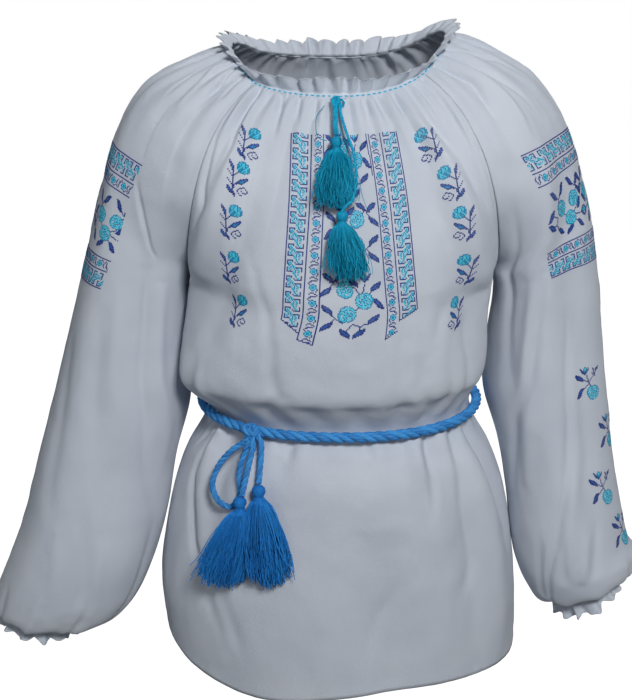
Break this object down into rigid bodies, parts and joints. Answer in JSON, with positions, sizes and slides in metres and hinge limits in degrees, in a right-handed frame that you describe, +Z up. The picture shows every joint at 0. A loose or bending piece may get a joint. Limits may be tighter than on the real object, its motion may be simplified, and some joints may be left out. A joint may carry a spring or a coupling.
{
  "type": "vyshyvanka shirt",
  "caption": "Gathered folk blouse in its worn shape, with full sleeves, a frilled drawstring neck, cross-stitch embroidery and a tied rope belt with tassels.",
  "frame": {"origin": "middle of the neck opening at the height of the wearer's shoulder line, where the wearer holds the garment up", "axes": "+X to the wearer's left, -Y to the wearer's front, +Z up"},
  "size_m": [0.712, 0.291, 0.6844],
  "materials": {
    "crepe": "white crepe weave, matt, slightly translucent",
    "belt_rope": "twisted blue cotton rope, matt",
    "drawstring_thread": "turquoise embroidery thread, slight sheen"
  },
  "bodies": {
    "root": {"front": "crepe", "back": "crepe", "sleeve_left": "crepe", "sleeve_right": "crepe", "neck_frill": "crepe", "cuff_frill_left": "crepe", "cuff_frill_right": "crepe", "belt": "belt_rope", "belt_knot": "belt_rope", "belt_bow": "belt_rope", "belt_end_left": "belt_rope", "belt_end_right": "belt_rope", "belt_tassel_left": "belt_rope", "belt_tassel_right": "belt_rope", "drawstring_upper": "drawstring_thread", "drawstring_lower": "drawstring_thread", "neck_tassel_upper": "drawstring_thread", "neck_tassel_lower": "drawstring_thread"}
  },
  "joints": []
}
